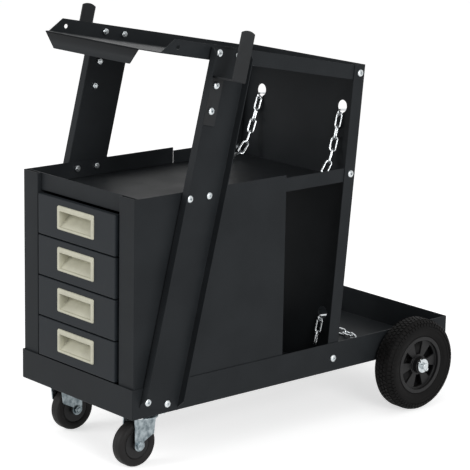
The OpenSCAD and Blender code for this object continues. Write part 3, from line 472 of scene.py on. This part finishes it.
pull_beige = surface("moulded_beige", (0.46, 0.45, 0.355),
                     (0.52, 0.51, 0.405), (0.42, 0.5), (0.0006, 0.000008),
                     (0.05, 0.00003), rub=0.2, film=0.02)
bezel, wall = 0.0025, 0.0015
mouth_w, sill, lip = 0.0849, -0.01575, 0.01125
body_w, body_half = 0.0879, 0.01845
ramp = 0.004
for k in drawers:
    low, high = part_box(f"drawer_{k}_pull")
    face_w, face_half = high.x - low.x, (high.z - low.z) / 2
    deep = high.y - low.y - bezel
    place = Vector((0, low.y + bezel, (low.z + high.z) / 2))
    back = deep - wall
    slope = (ramp - sill) / back
    # Rows of width, lower and upper edge, corner radius and depth: the
    # pocket's back, its ramp and ceiling, the mouth, the bezel, the body.
    rows = [(mouth_w - 0.002, ramp + 0.001, face_half - 0.0045, 0.001, back)]
    for share in (0.97, 0.85, 0.6, 0.35, 0.15):
        depth = back * share
        ceiling = face_half - 0.0033 if share > 0.2 else lip + 0.0025
        rows.append((mouth_w - 0.001, sill + slope * depth, ceiling, 0.0015,
                     depth))
    rows += [
        (mouth_w, sill + 0.0004, lip, 0.0012, 0.0012),
        (mouth_w, sill, lip, 0.0012, -0.0014),
        (mouth_w + 0.0008, sill - 0.0004, lip + 0.0004, 0.0016, -0.0021),
        (mouth_w + 0.002, sill - 0.001, lip + 0.001, 0.002, -0.0024),
        (face_w - 0.0035, 0.0016 - face_half, face_half - 0.0022, 0.002,
         -bezel),
        (face_w - 0.0016, 0.0008 - face_half, face_half - 0.0009, 0.0026,
         -0.0020),
        (face_w - 0.0004, 0.0002 - face_half, face_half - 0.0002, 0.003,
         -0.0010),
        (face_w, -face_half, face_half, 0.003, 0.0),
        (body_w, -body_half, body_half, 0.002, 0.0),
        (body_w, 0.0011 - body_half, body_half, 0.002, 0.0012),
        (body_w, ramp - wall, body_half, 0.002, deep)]
    name = f"drawer_{k}_pull_moulding"
    settle(loft(name, [round_frame(*row, place) for row in rows]), name,
           pull_beige, f"drawer_{k}", "pull_plastic", f"drawer_{k}_pull")


# ---------------------------------------------------------------------------
# Uprights, cable hooks, shelf, rear panel and top tray: the folded members
# above the base. The hooks are flat bar with a coarser coat.
hook_coat = surface("hook_powder_coat", (0.0075, 0.0085, 0.0095),
                    (0.0130, 0.0145, 0.0160), (0.5, 0.62),
                    (0.0016, 0.00005), (0.05, 0.0001), specular=0.25)
bar = 0.003
for side in ("left", "right"):
    settle(softened(f"{side}_upright", f"{side}_upright_channel", sheet),
           f"{side}_upright_channel", black_coat, "cart", "body_paint",
           f"{side}_upright")
    settle(softened(f"{side}_cable_hook", f"{side}_hook_bar", bar,
                    fold=0.0025, inside=0.0012, cut=0.0003),
           f"{side}_hook_bar", hook_coat, "cart", "body_paint",
           f"{side}_cable_hook")
for node, name in (("middle_shelf", "shelf_plate"),
                   ("rear_panel", "rear_panel_plate"),
                   ("top_tray", "top_tray_pan")):
    settle(softened(node, name, sheet), name, black_coat, "cart",
           "body_paint", node)


# ---------------------------------------------------------------------------
# Fixings: zinc plated pan head screws with a cross recess, their nuts, and
# the washers between the uprights and what they carry.
zinc_plate = surface("bright_zinc", (0.52, 0.56, 0.58), (0.66, 0.69, 0.70),
                     (0.22, 0.34), (0.0007, 0.000006), (0.02, 0.00002),
                     metal=1.0, rub=0.8, film=0.02)


def solids_of(node):
    """The vertices of each separate solid of a CAD node, as sorted arrays."""
    work = whole_faces(node)
    left = set(work.verts)
    groups = []
    while left:
        grow = [left.pop()]
        group = []
        while grow:
            vertex = grow.pop()
            group.append(vertex.co[:])
            for edge in vertex.link_edges:
                other = edge.other_vert(vertex)
                if other in left:
                    left.discard(other)
                    grow.append(other)
        groups.append(np.array(sorted(group)))
    work.free()
    return sorted(groups, key=lambda g: tuple(np.round(g.mean(0), 4)))


def revolved(name, profile, sides=32):
    """Turned piece round Z from points of radius and height."""
    loops = [[Vector((r * cos(2 * pi * i / sides), r * sin(2 * pi * i / sides),
                      z)) for i in range(sides)] for r, z in profile]
    return loft(name, loops)


def hidden_model(mesh):
    """Object that only lends its mesh to other pieces."""
    model = bpy.data.objects.new(mesh.name, mesh)
    scene.collection.objects.link(model)
    return model


def screw_head():
    """Pan head of 12.5 mm with its cross recess, seated at the origin."""
    radius, edge, crown = 0.00625, 0.0013, 0.0039
    neck, root, chamfer, tip = 0.0029, -0.0005, 0.0002, 0.0003
    flatness = 0.7
    bit_top = (0.0066, 0.0016, crown + 0.001)
    bit_end = (0.0024, 0.0009, crown - 0.0026)
    dome = [(radius * cos(radians(a)) ** flatness,
             edge + (crown - edge) * sin(radians(a))) for a in
            (12, 28, 44, 60, 74, 84)]
    head = hidden_model(revolved("screw_head", [
        (neck, root), (neck, 0), (radius - chamfer, 0), (radius, chamfer),
        (radius, edge), *dome, (tip, crown)]))
    cutters = []
    for turn in (0, 90):
        work = bmesh.new()
        bmesh.ops.create_cube(work, size=1)
        for vertex in work.verts:
            wide, thick, level = bit_top if vertex.co.z > 0 else bit_end
            vertex.co = (vertex.co.x * wide, vertex.co.y * thick, level)
        bmesh.ops.rotate(work, verts=work.verts,
                         matrix=Matrix.Rotation(radians(turn), 3, "Z"))
        mesh = bpy.data.meshes.new("cross_bit")
        work.to_mesh(mesh)
        work.free()
        cutters.append(hidden_model(mesh))
        cut = head.modifiers.new("recess", "BOOLEAN")
        cut.operation = "DIFFERENCE"
        cut.solver = "EXACT"
        cut.object = cutters[-1]
    mesh = made_solid(head, "screw_head")
    for cutter in cutters:
        bpy.data.objects.remove(cutter)
    mesh.set_sharp_from_angle(angle=crease)
    return hidden_model(mesh)


def hexagon(name, flats, tall, bore):
    """Nut, or bolt head where bore is zero, with chamfered corners."""
    sides = 36
    face_share, drop_share, mouth_share = 0.96, 0.58, 1.12
    mouth_depth = 0.0005

    def ring(radii, heights):
        return [Vector((r * cos(2 * pi * i / sides),
                        r * sin(2 * pi * i / sides), z))
                for i, (r, z) in enumerate(zip(radii, heights))]

    def level_ring(radius, height):
        return ring([radius] * sides, [height] * sides)

    reach = [flats / 2 / cos(radians((360 * i / sides) % 60 - 30))
             for i in range(sides)]
    face_r = flats / 2 * face_share
    drop = [(r - face_r) * drop_share for r in reach]
    loops = [level_ring(face_r, 0), ring(reach, drop),
             ring(reach, [tall - d for d in drop]), level_ring(face_r, tall)]
    if bore:
        loops += [level_ring(bore * mouth_share, tall),
                  level_ring(bore, tall - mouth_depth),
                  level_ring(bore, mouth_depth),
                  level_ring(bore * mouth_share, 0)]
    return hidden_model(loft(name, loops, closed=bool(bore)))


def new_growth(name, gives, *takes):
    """Empty Geometry Nodes tree with its output and its named inputs."""
    tree = bpy.data.node_groups.new(name, "GeometryNodeTree")
    for key, kind, *value in takes:
        made = tree.interface.new_socket(key, in_out="INPUT",
                                         socket_type="NodeSocket" + kind)
        if value:
            made.default_value = value[0]
    tree.interface.new_socket(gives, in_out="OUTPUT",
                              socket_type="NodeSocketGeometry")
    return tree


def from_points(tree, name):
    """Vector that each point carries under a name."""
    read = put(tree, "GeometryNodeInputNamedAttribute",
               {"data_type": "FLOAT_VECTOR"}, Name=name)
    return next(s for s in read.outputs if s.enabled)


def realize(tree, gives, copies, finish):
    """Makes a tree's copies real, sets their material and gives them out."""
    real = put(tree, "GeometryNodeRealizeInstances",
               Geometry=copies.outputs[0])
    painted = put(tree, "GeometryNodeSetMaterial", Geometry=real.outputs[0],
                  Material=finish)
    put(tree, "NodeGroupOutput", **{gives: painted.outputs[0]})


# Geometry Nodes that set one model on each point, turned and stretched.
placed = new_growth("set_in_place", "Pieces", ("Points", "Geometry"),
                    ("Model", "Object"), ("Size", "Float"),
                    ("Finish", "Material"))
taken = put(placed, "NodeGroupInput").outputs
turned = put(placed, "FunctionNodeEulerToRotation",
             Euler=from_points(placed, "turn"))
model = put(placed, "GeometryNodeObjectInfo", Object=taken["Model"])
sized = put(placed, "ShaderNodeVectorMath", {"operation": "SCALE"},
            Vector=from_points(placed, "stretch"), Scale=taken["Size"])
copies = put(placed, "GeometryNodeInstanceOnPoints", Points=taken["Points"],
             Instance=model.outputs["Geometry"],
             Rotation=turned.outputs[0], Scale=sized.outputs[0])
realize(placed, "Pieces", copies, taken["Finish"])


def grown(tree, name, points, turns=(), stretches=(), **values):
    """Mesh that a Geometry Nodes tree makes from points and its inputs."""
    mesh = bpy.data.meshes.new(name)
    mesh.from_pydata([tuple(p) for p in points], [], [])
    for key, rows in (("turn", turns), ("stretch", stretches)):
        if len(rows):
            held = mesh.attributes.new(key, "FLOAT_VECTOR", "POINT")
            held.data.foreach_set("vector",
                                  np.array(rows, np.float32).ravel())
    shape = bpy.data.objects.new(name, mesh)
    nodes = shape.modifiers.new("growth", "NODES")
    nodes.node_group = tree
    for item in tree.interface.items_tree:
        if item.in_out == "INPUT" and item.name in values:
            nodes[item.identifier] = values[item.name]
    scene.collection.objects.link(shape)
    return made_solid(shape, name)


def together(name, meshes):
    """Several meshes as one."""
    work = bmesh.new()
    for mesh in meshes:
        work.from_mesh(mesh)
    whole = bpy.data.meshes.new(name)
    work.to_mesh(whole)
    work.free()
    whole.shade_smooth()
    whole.set_sharp_from_angle(angle=crease)
    return whole


def facing(direction, spin):
    """Euler angles that turn Z along a direction and spin about it."""
    return (Vector(direction).to_track_quat("Z", "Y").to_matrix()
            @ Matrix.Rotation(spin, 3, "Z")).to_euler()


def screw_set(name, node, head_tall, size):
    """Screws of a CAD node: heads, shanks and threaded ends."""
    head_spare, shank_gap, spin_step = 1e-3, 0.0004, 2.4
    heads, ends, turns, lengths = [], [], [], []
    for i, points in enumerate(solids_of(node)):
        span = points.max(0) - points.min(0)
        axis = int(np.argmax(span))
        middle = (points.max(0) + points.min(0)) / 2
        far = np.hypot(*np.delete(points - middle, axis, 1).T)
        upper = far[points[:, axis] > middle[axis]].max()
        lower = far[points[:, axis] < middle[axis]].max()
        out = Vector((0, 0, 0))
        out[axis] = 1 if lower < upper - head_spare else -1
        end = Vector(middle) + out * (span[axis] / 2)
        heads.append(end - out * head_tall)
        ends.append(end - out * span[axis])
        turns.append(facing(out, spin_step * i))
        lengths.append(span[axis] - head_tall)
    ones = [(1, 1, 1)] * len(heads)
    stretched = [(1, 1, length - shank_gap) for length in lengths]
    return together(name, [
        grown(placed, name, heads, turns, ones, Model=pan_head, Size=size,
              Finish=zinc_plate),
        grown(placed, name, ends, turns, stretched, Model=shank, Size=1.0,
              Finish=zinc_plate),
        grown(placed, name, ends, turns, ones, Model=thread, Size=1.0,
              Finish=zinc_plate)])


pan_head = screw_head()
tip_r, shank_r, shank_root = 0.0001, 0.0026, 0.02
shank = hidden_model(revolved("shank", [
    (tip_r, shank_root), (shank_r, shank_root), (shank_r, 1.0),
    (tip_r, 1.0)], sides=16))
end_r, groove_r, crest_r = 0.0023, 0.0025, 0.003
lead_in, half_pitch, thread_top = 0.0004, 0.0005, 0.0066
thread = hidden_model(revolved("thread", [
    (tip_r, 0.0), (end_r, 0.0)] + [
    (crest_r if i % 2 else groove_r, lead_in + i * half_pitch)
    for i in range(12)] + [(tip_r, thread_top)], sides=16))
for name, node, head_tall, size in (
        ("frame_screw_set", "frame_screws", 0.004, 1.0),
        ("plate_bolt_set", "caster_plate_bolts", 0.003, 0.8),
        ("bracket_bolt_set", "bracket_bolts", 0.003, 0.8)):
    settle(screw_set(name, node, head_tall, size), name, zinc_plate, "cart",
           "zinc", node)

nut_tall, nut_spin = 0.005, 1.3
nut_model = hexagon("nut", flats=0.010, tall=nut_tall, bore=0.0031)
nuts, nut_turns = [], []
for i, points in enumerate(solids_of("frame_nuts")):
    span = points.max(0) - points.min(0)
    out = Vector((0, 0, 0))
    out[int(np.argmin(span))] = 1
    middle = Vector((points.max(0) + points.min(0)) / 2)
    nuts.append(middle - out * (nut_tall / 2))
    nut_turns.append(facing(out, nut_spin * i))
settle(grown(placed, "frame_nut_set", nuts, nut_turns,
             [(1, 1, 1)] * len(nuts), Model=nut_model, Size=1.0,
             Finish=zinc_plate), "frame_nut_set", zinc_plate, "cart", "zinc",
       "frame_nuts")
settle(softened("spacer_washers", "spacer_set", fold=0.0002, inside=0.0001),
       "spacer_set", zinc_plate, "cart", "zinc", "spacer_washers")


# ---------------------------------------------------------------------------
# Casters: pressed plate and fork of zinc plated steel on a king pin, a moulded
# wheel core and a black rubber tyre on a hexagon bolt.
caster_zinc = surface("pressed_zinc", (0.13, 0.16, 0.175), (0.36, 0.41, 0.43),
                      (0.26, 0.46), (0.0008, 0.00001), (0.018, 0.00012),
                      metal=1.0, rub=0.6, film=0.03)
caster_rubber = surface("caster_rubber", (0.0070, 0.0066, 0.0066),
                        (0.0120, 0.0112, 0.0112), (0.55, 0.7),
                        (0.0005, 0.00001), (0.03, 0.00004), specular=0.2,
                        film=0.02)
wheel_black = surface("moulded_black", (0.006, 0.006, 0.0065),
                      (0.009, 0.009, 0.0095), (0.4, 0.5),
                      (0.0006, 0.000008), (0.04, 0.00004), specular=0.25,
                      film=0.03)


def turned_ring(name, profile, centre, sides=96):
    """Ring turned about X at a centre, from a closed profile of (x, r)."""
    loops = [[centre + Vector((x, r * cos(2 * pi * i / sides),
                               r * sin(2 * pi * i / sides)))
              for i in range(sides)] for x, r in profile]
    return loft(name, loops, closed=True)


def arc(x, r, radius, start, end, steps):
    """Points of a profile's arc, its angle counted from +X to +R."""
    return [(x + radius * cos(radians(start + (end - start) * i / steps)),
             r + radius * sin(radians(start + (end - start) * i / steps)))
            for i in range(steps + 1)]


hex_tall, fork_half = 0.004, 0.0165
pin_r, pin_end_r = 0.004, 0.0034
pin_shoulder, pin_end = 0.0205, 0.0215
corner = 0.0066
hex_head = hexagon("bolt_head", flats=0.013, tall=hex_tall, bore=0)
hex_nut = hexagon("bolt_nut", flats=0.013, tall=hex_tall, bore=0.0041)
pin = hidden_model(revolved("axle_pin", [
    (tip_r, -fork_half), (pin_r, -fork_half), (pin_r, pin_shoulder),
    (pin_end_r, pin_end), (tip_r, pin_end)], sides=24))
for side, nut_way in (("left", 1), ("right", -1)):
    settle(softened(f"{side}_caster_plate", f"{side}_caster_top", fold=0.0006,
                    inside=0.0008), f"{side}_caster_top", caster_zinc, "cart",
           "zinc", f"{side}_caster_plate")
    settle(softened(f"{side}_caster_fork", f"{side}_caster_yoke", thick=0.0025,
                    fold=0.0018, inside=0.0008, cut=0.0004),
           f"{side}_caster_yoke", caster_zinc, f"{side}_swivel", "zinc",
           f"{side}_caster_fork")
    low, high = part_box(f"{side}_caster_tyre")
    centre = (low + high) / 2
    half, outer = (high.x - low.x) / 2, (high.z - low.z) / 2
    # The tyre's section: a round shoulder, the side wall and the bead.
    flank = arc(half - corner, outer - corner, corner, 88, 20, steps=8) + [
        (half - 0.0006, outer - 0.0095), (half - 0.0012, outer - 0.0105),
        (half - 0.0016, 0.0258), (half - 0.0030, 0.0244)]
    seam = [(0.0, outer), (0.0006, outer - 0.0002)]
    profile = (seam + flank + [(-x, r) for x, r in reversed(flank)]
               + [(-x, r) for x, r in seam[1:]])
    settle(turned_ring(f"{side}_caster_tread", profile, centre),
           f"{side}_caster_tread", caster_rubber, f"{side}_caster_wheel",
           "caster_rubber", f"{side}_caster_tyre")
    settle(softened(f"{side}_caster_core", f"{side}_caster_hub", fold=0.0008,
                    inside=0.0008), f"{side}_caster_hub", wheel_black,
           f"{side}_caster_wheel", "wheel_plastic", f"{side}_caster_core")
    low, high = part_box(f"{side}_caster_bolt")
    middle = (low + high) / 2
    middle.x = centre.x
    along = Vector((nut_way, 0, 0))
    settle(together(f"{side}_caster_axle", [
        grown(placed, model.name, [middle + along * shift],
              [facing(along, spin)], [(1, 1, 1)], Model=model, Size=1.0,
              Finish=caster_zinc)
        for model, shift, spin in ((pin, 0, 0),
                                   (hex_head, -fork_half - hex_tall, 0.3),
                                   (hex_nut, fork_half, 0.8))]),
        f"{side}_caster_axle", caster_zinc, f"{side}_swivel", "zinc",
        f"{side}_caster_bolt")
settle(softened("caster_kingpins", "kingpin_set", fold=0.0008, inside=0.0003),
       "kingpin_set", caster_zinc, "cart", "zinc", "caster_kingpins")


# ---------------------------------------------------------------------------
# Rear axle: a round bar in two angle brackets under the tray, with spacers,
# washers and a split pin at each end.
for node, name, soft in (("rear_axle", "axle_bar", 0.0008),
                         ("axle_brackets", "axle_bracket_set", 0.0006),
                         ("axle_spacers", "axle_spacer_set", 0.0004),
                         ("axle_washers", "axle_washer_set", 0.0004),
                         ("cotter_pins", "split_pin_set", 0.0002)):
    settle(softened(node, name, fold=soft, inside=soft / 2), name, zinc_plate,
           "cart", "zinc", node)


# ---------------------------------------------------------------------------
# Rear wheels: a moulded rim with six wedge openings round a steel bush, and a
# solid rubber tyre with rows of small blocks over its crown and shoulders.
tyre_rubber = surface("tyre_rubber", (0.0052, 0.0050, 0.0050),
                      (0.0080, 0.0077, 0.0077), (0.55, 0.68),
                      (0.0005, 0.00001), (0.03, 0.00005), specular=0.08,
                      film=0.02)

tread = new_growth("tread_row", "Row", ("Points", "Geometry"),
                   ("Centre", "Vector"), ("Blocks", "Int", 60),
                   ("Start", "Float", 0.0), ("Offset", "Float", 0.0),
                   ("Radius", "Float", 0.08), ("Tilt", "Float", 0.0),
                   ("Block Width", "Float", 0.006),
                   ("Block Length", "Float", 0.0055),
                   ("Block Height", "Float", 0.002), ("Finish", "Material"))
taken = put(tread, "NodeGroupInput").outputs
step = maths(tread, "DIVIDE", 2 * pi, taken["Blocks"])
angle = maths(tread, "MULTIPLY_ADD",
              put(tread, "GeometryNodeInputIndex").outputs[0], step,
              maths(tread, "MULTIPLY", taken["Start"], step))
reach_y = maths(tread, "MULTIPLY", taken["Radius"],
                maths(tread, "COSINE", angle))
reach_z = maths(tread, "MULTIPLY", taken["Radius"],
                maths(tread, "SINE", angle))
from_centre = put(tread, "ShaderNodeCombineXYZ", X=taken["Offset"],
                  Y=reach_y, Z=reach_z)
on_tyre = put(tread, "ShaderNodeVectorMath", {"operation": "ADD"})
join(tread, taken["Centre"], on_tyre.inputs[0])
join(tread, from_centre.outputs[0], on_tyre.inputs[1])
ring = put(tread, "GeometryNodePoints", Count=taken["Blocks"],
           Position=on_tyre.outputs[0])
block = put(tread, "GeometryNodeMeshCube", Size=put(
    tread, "ShaderNodeCombineXYZ", X=taken["Block Width"],
    Y=taken["Block Length"], Z=taken["Block Height"]).outputs[0])
leaned = put(tread, "GeometryNodeTransform", Geometry=block.outputs[0],
             Rotation=put(tread, "ShaderNodeCombineXYZ",
                          Y=taken["Tilt"]).outputs[0])
round_x = put(tread, "FunctionNodeEulerToRotation", Euler=put(
    tread, "ShaderNodeCombineXYZ",
    X=maths(tread, "SUBTRACT", angle, pi / 2)).outputs[0])
copies = put(tread, "GeometryNodeInstanceOnPoints", Points=ring.outputs[0],
             Instance=leaned.outputs[0], Rotation=round_x.outputs[0])
realize(tread, "Row", copies, taken["Finish"])

crown_drop, wall_gap, shoulder = 0.0014, 0.0006, 0.0128
row_blocks, block_long, block_tall = 64, 0.0056, 0.0026
for side in ("left", "right"):
    low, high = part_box(f"{side}_rear_tyre")
    centre = (low + high) / 2
    half, outer = (high.x - low.x) / 2, (high.z - low.z) / 2
    crown = outer - crown_drop
    arc_x, arc_r = half - wall_gap - shoulder, crown - shoulder
    # The tyre's section: a round shoulder, a rib, the side wall and the bead.
    flank = arc(arc_x, arc_r, shoulder, 88, 14, steps=10) + [
        (half - 0.0004, arc_r + 0.0005), (half - 0.0003, arc_r - 0.0020),
        (half - 0.0011, arc_r - 0.0026), (half - 0.0012, arc_r - 0.0062),
        (half - 0.0022, arc_r - 0.0102), (half - 0.0036, 0.0560),
        (half - 0.0044, 0.0530), (half - 0.0056, 0.0522)]
    profile = flank + [(-x, r) for x, r in reversed(flank)]
    # Rows of start, offset, radius, tilt and block width, from the middle out.
    bands = [(0.0, 0.0, crown, 0.0, 0.0062), (0.5, 0.0078, crown, 0.0, 0.0058)]
    for start, lean, width in ((0.0, radians(38), 0.0062),
                               (0.5, radians(66), 0.0056)):
        bands.append((start, arc_x + shoulder * sin(lean),
                      arc_r + shoulder * cos(lean), lean, width))
    rows = []
    for start, offset, radius, lean, width in bands:
        for way in ((-1, 1) if offset else (1,)):
            rows.append(grown(
                tread, "row", [(0, 0, 0)], Centre=tuple(centre),
                Blocks=row_blocks, Start=start, Offset=way * offset,
                Radius=radius, Tilt=way * lean, Finish=tyre_rubber,
                **{"Block Width": width, "Block Length": block_long,
                   "Block Height": block_tall}))
    carcass = turned_ring("carcass", profile, centre, sides=128)
    settle(together(f"{side}_tyre_tread", rows + [carcass]),
           f"{side}_tyre_tread", tyre_rubber, f"{side}_rear_wheel",
           "rear_tyre_rubber", f"{side}_rear_tyre")
    settle(softened(f"{side}_rear_rim", f"{side}_wheel_rim", fold=0.001,
                    inside=0.0008), f"{side}_wheel_rim", wheel_black,
           f"{side}_rear_wheel", "wheel_plastic", f"{side}_rear_rim")
    settle(softened(f"{side}_rear_bush", f"{side}_wheel_bush", fold=0.0004,
                    inside=0.0002), f"{side}_wheel_bush", zinc_plate,
           f"{side}_rear_wheel", "zinc", f"{side}_rear_bush")


# ---------------------------------------------------------------------------
# Chains: welded links of zinc plated wire, each a bent oval. They hang from
# the keyhole slots, down to the shelf and to the platform's floor.
chain_zinc = surface("chain_zinc", (0.60, 0.63, 0.65), (0.74, 0.76, 0.77),
                     (0.18, 0.3), (0.0006, 0.000006), (0.01, 0.00002),
                     metal=1.0, rub=0.5, film=0.0)
links = new_growth("chain_links", "Chain", ("Points", "Geometry"),
                   ("Wire", "Float", 0.0035), ("Length", "Float", 0.029),
                   ("Width", "Float", 0.0135), ("Finish", "Material"))
taken = put(links, "NodeGroupInput").outputs
oval = put(links, "GeometryNodeCurvePrimitiveQuadrilateral",
           Width=maths(links, "SUBTRACT", taken["Length"], taken["Wire"]),
           Height=maths(links, "SUBTRACT", taken["Width"], taken["Wire"]))
nearly_half = 0.499
bent = put(links, "GeometryNodeFilletCurve", {"mode": "POLY"},
           Curve=oval.outputs[0], Count=7,
           Radius=maths(links, "MULTIPLY", nearly_half, maths(
               links, "SUBTRACT", taken["Width"], taken["Wire"])))
wire = put(links, "GeometryNodeCurvePrimitiveCircle", Resolution=12,
           Radius=maths(links, "MULTIPLY", taken["Wire"], 0.5))
link = put(links, "GeometryNodeCurveToMesh", Curve=bent.outputs[0],
           Profile_Curve=wire.outputs[0])
copies = put(links, "GeometryNodeInstanceOnPoints", Points=taken["Points"],
             Instance=link.outputs[0], Rotation=put(
                 links, "FunctionNodeEulerToRotation",
                 Euler=from_points(links, "turn")).outputs[0])
realize(links, "Chain", copies, taken["Finish"])

for node in ("upper_chain", "lower_chain"):
    places, turns = [], []
    for points in solids_of(node):
        middle = points.mean(0)
        ways = np.linalg.svd(points - middle, full_matrices=False)[2]
        long_way, wide_way = Vector(ways[0]), Vector(ways[1])
        places.append(middle)
        turns.append(Matrix((long_way, wide_way, long_way.cross(
            wide_way))).transposed().to_euler())
    chain = grown(links, f"{node}_links", places, turns, Finish=chain_zinc)
    chain.shade_smooth()
    settle(chain, f"{node}_links", chain_zinc, "cart", "chain_zinc", node)

for model in (pan_head, shank, thread, nut_model, hex_head, hex_nut, pin):
    bpy.data.objects.remove(model)
